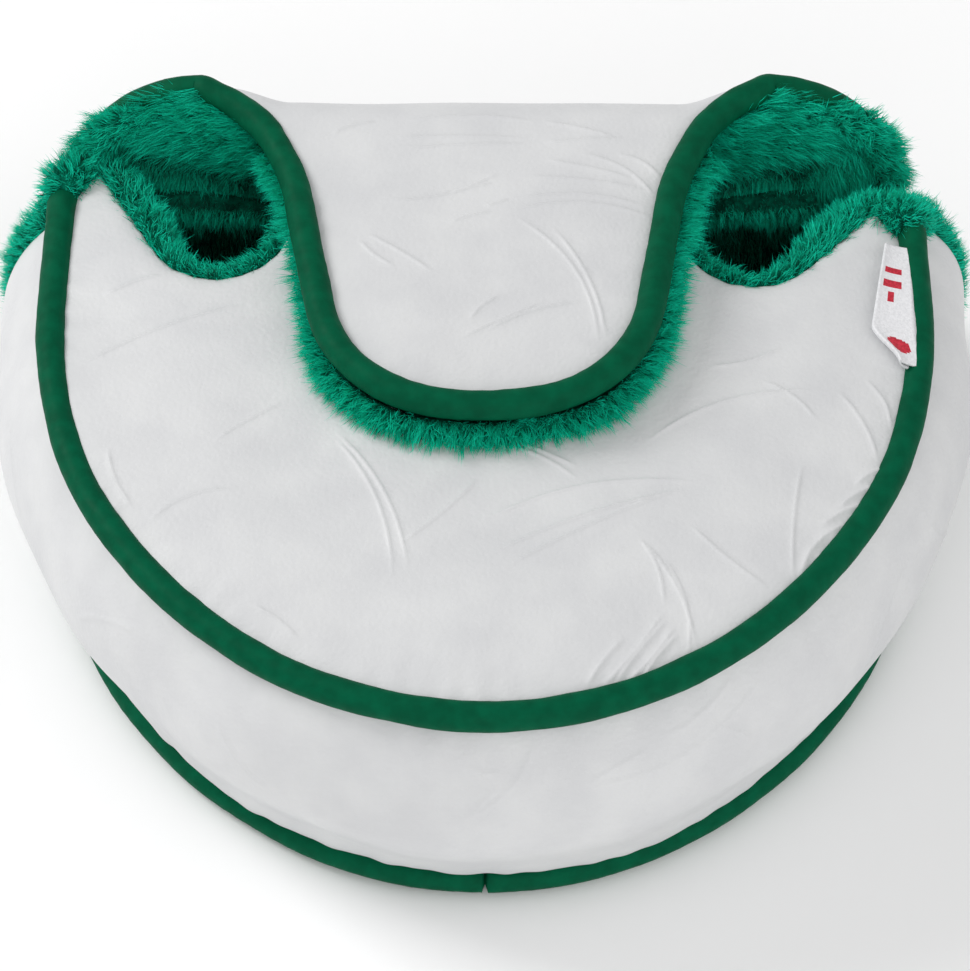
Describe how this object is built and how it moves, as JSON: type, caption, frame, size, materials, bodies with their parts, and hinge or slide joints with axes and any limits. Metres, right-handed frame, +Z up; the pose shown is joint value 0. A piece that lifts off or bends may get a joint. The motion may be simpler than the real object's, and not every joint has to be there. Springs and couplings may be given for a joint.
{
  "type": "putter head cover",
  "caption": "Padded half-moon putter head cover with a folding flap, plush lining, piped seams and a shaft opening on either side.",
  "frame": {"origin": "centre of the flat bottom, under the middle of the cover", "axes": "+X to the right seen from the round front, +Y towards the rear wall, +Z up"},
  "size_m": [0.136, 0.11, 0.0526],
  "materials": {
    "white_leather": "white synthetic leather, fine pebble grain, embossed strokes, satin",
    "green_piping": "smooth dark green synthetic leather, semi-gloss",
    "green_plush": "long pile plush, matt with a soft sheen",
    "foam": "soft open foam",
    "filler_cord": "twisted white filler cord",
    "magnet_steel": "plated",
    "pocket_film": "thin clear film",
    "tag_cloth": "white woven label with red marks"
  },
  "bodies": {
    "pouch": {"bottom_lining": "green_plush", "bottom_padding": "foam", "bottom_shell": "white_leather", "lower_piping_cord": "filler_cord", "lower_piping_cover": "green_piping", "side_wall_lining": "green_plush", "side_wall_padding": "foam", "side_wall_shell": "white_leather", "top_lining": "green_plush", "top_magnet_pockets": "pocket_film", "top_magnets": "magnet_steel", "top_padding": "foam", "top_shell": "white_leather", "upper_piping_cord": "filler_cord", "upper_piping_cover": "green_piping"},
    "rear_wall": {"rear_piping_cord_left": "filler_cord", "rear_piping_cord_right": "filler_cord", "rear_piping_cover_left": "green_piping", "rear_piping_cover_right": "green_piping", "rear_wall_lining": "green_plush", "rear_wall_padding": "foam", "rear_wall_shell": "white_leather"},
    "tongue": {"tongue_lining": "green_plush", "tongue_magnet_pockets": "pocket_film", "tongue_magnets": "magnet_steel", "tongue_padding": "foam", "tongue_piping_cord": "filler_cord", "tongue_piping_cover": "green_piping", "tongue_shell": "white_leather"},
    "tag": {"side_tag": "tag_cloth"}
  },
  "joints": [
    {"name": "rear_wall_fold", "type": "hinge", "parent": "pouch", "child": "rear_wall", "pos_m": [0, 0.0515, 0.00205], "axis": [-1, 0, 0], "range_deg": [0, 75]},
    {"name": "tongue_fold", "type": "hinge", "parent": "rear_wall", "child": "tongue", "pos_m": [0, 0.0515, 0.0491], "axis": [-1, 0, 0], "range_deg": [0, 110]},
    {"name": "tag_flip", "type": "hinge", "parent": "pouch", "child": "tag", "pos_m": [0.05695, 0.02, 0.0429], "axis": [0, 1, 0], "range_deg": [0, 110]}
  ]
}
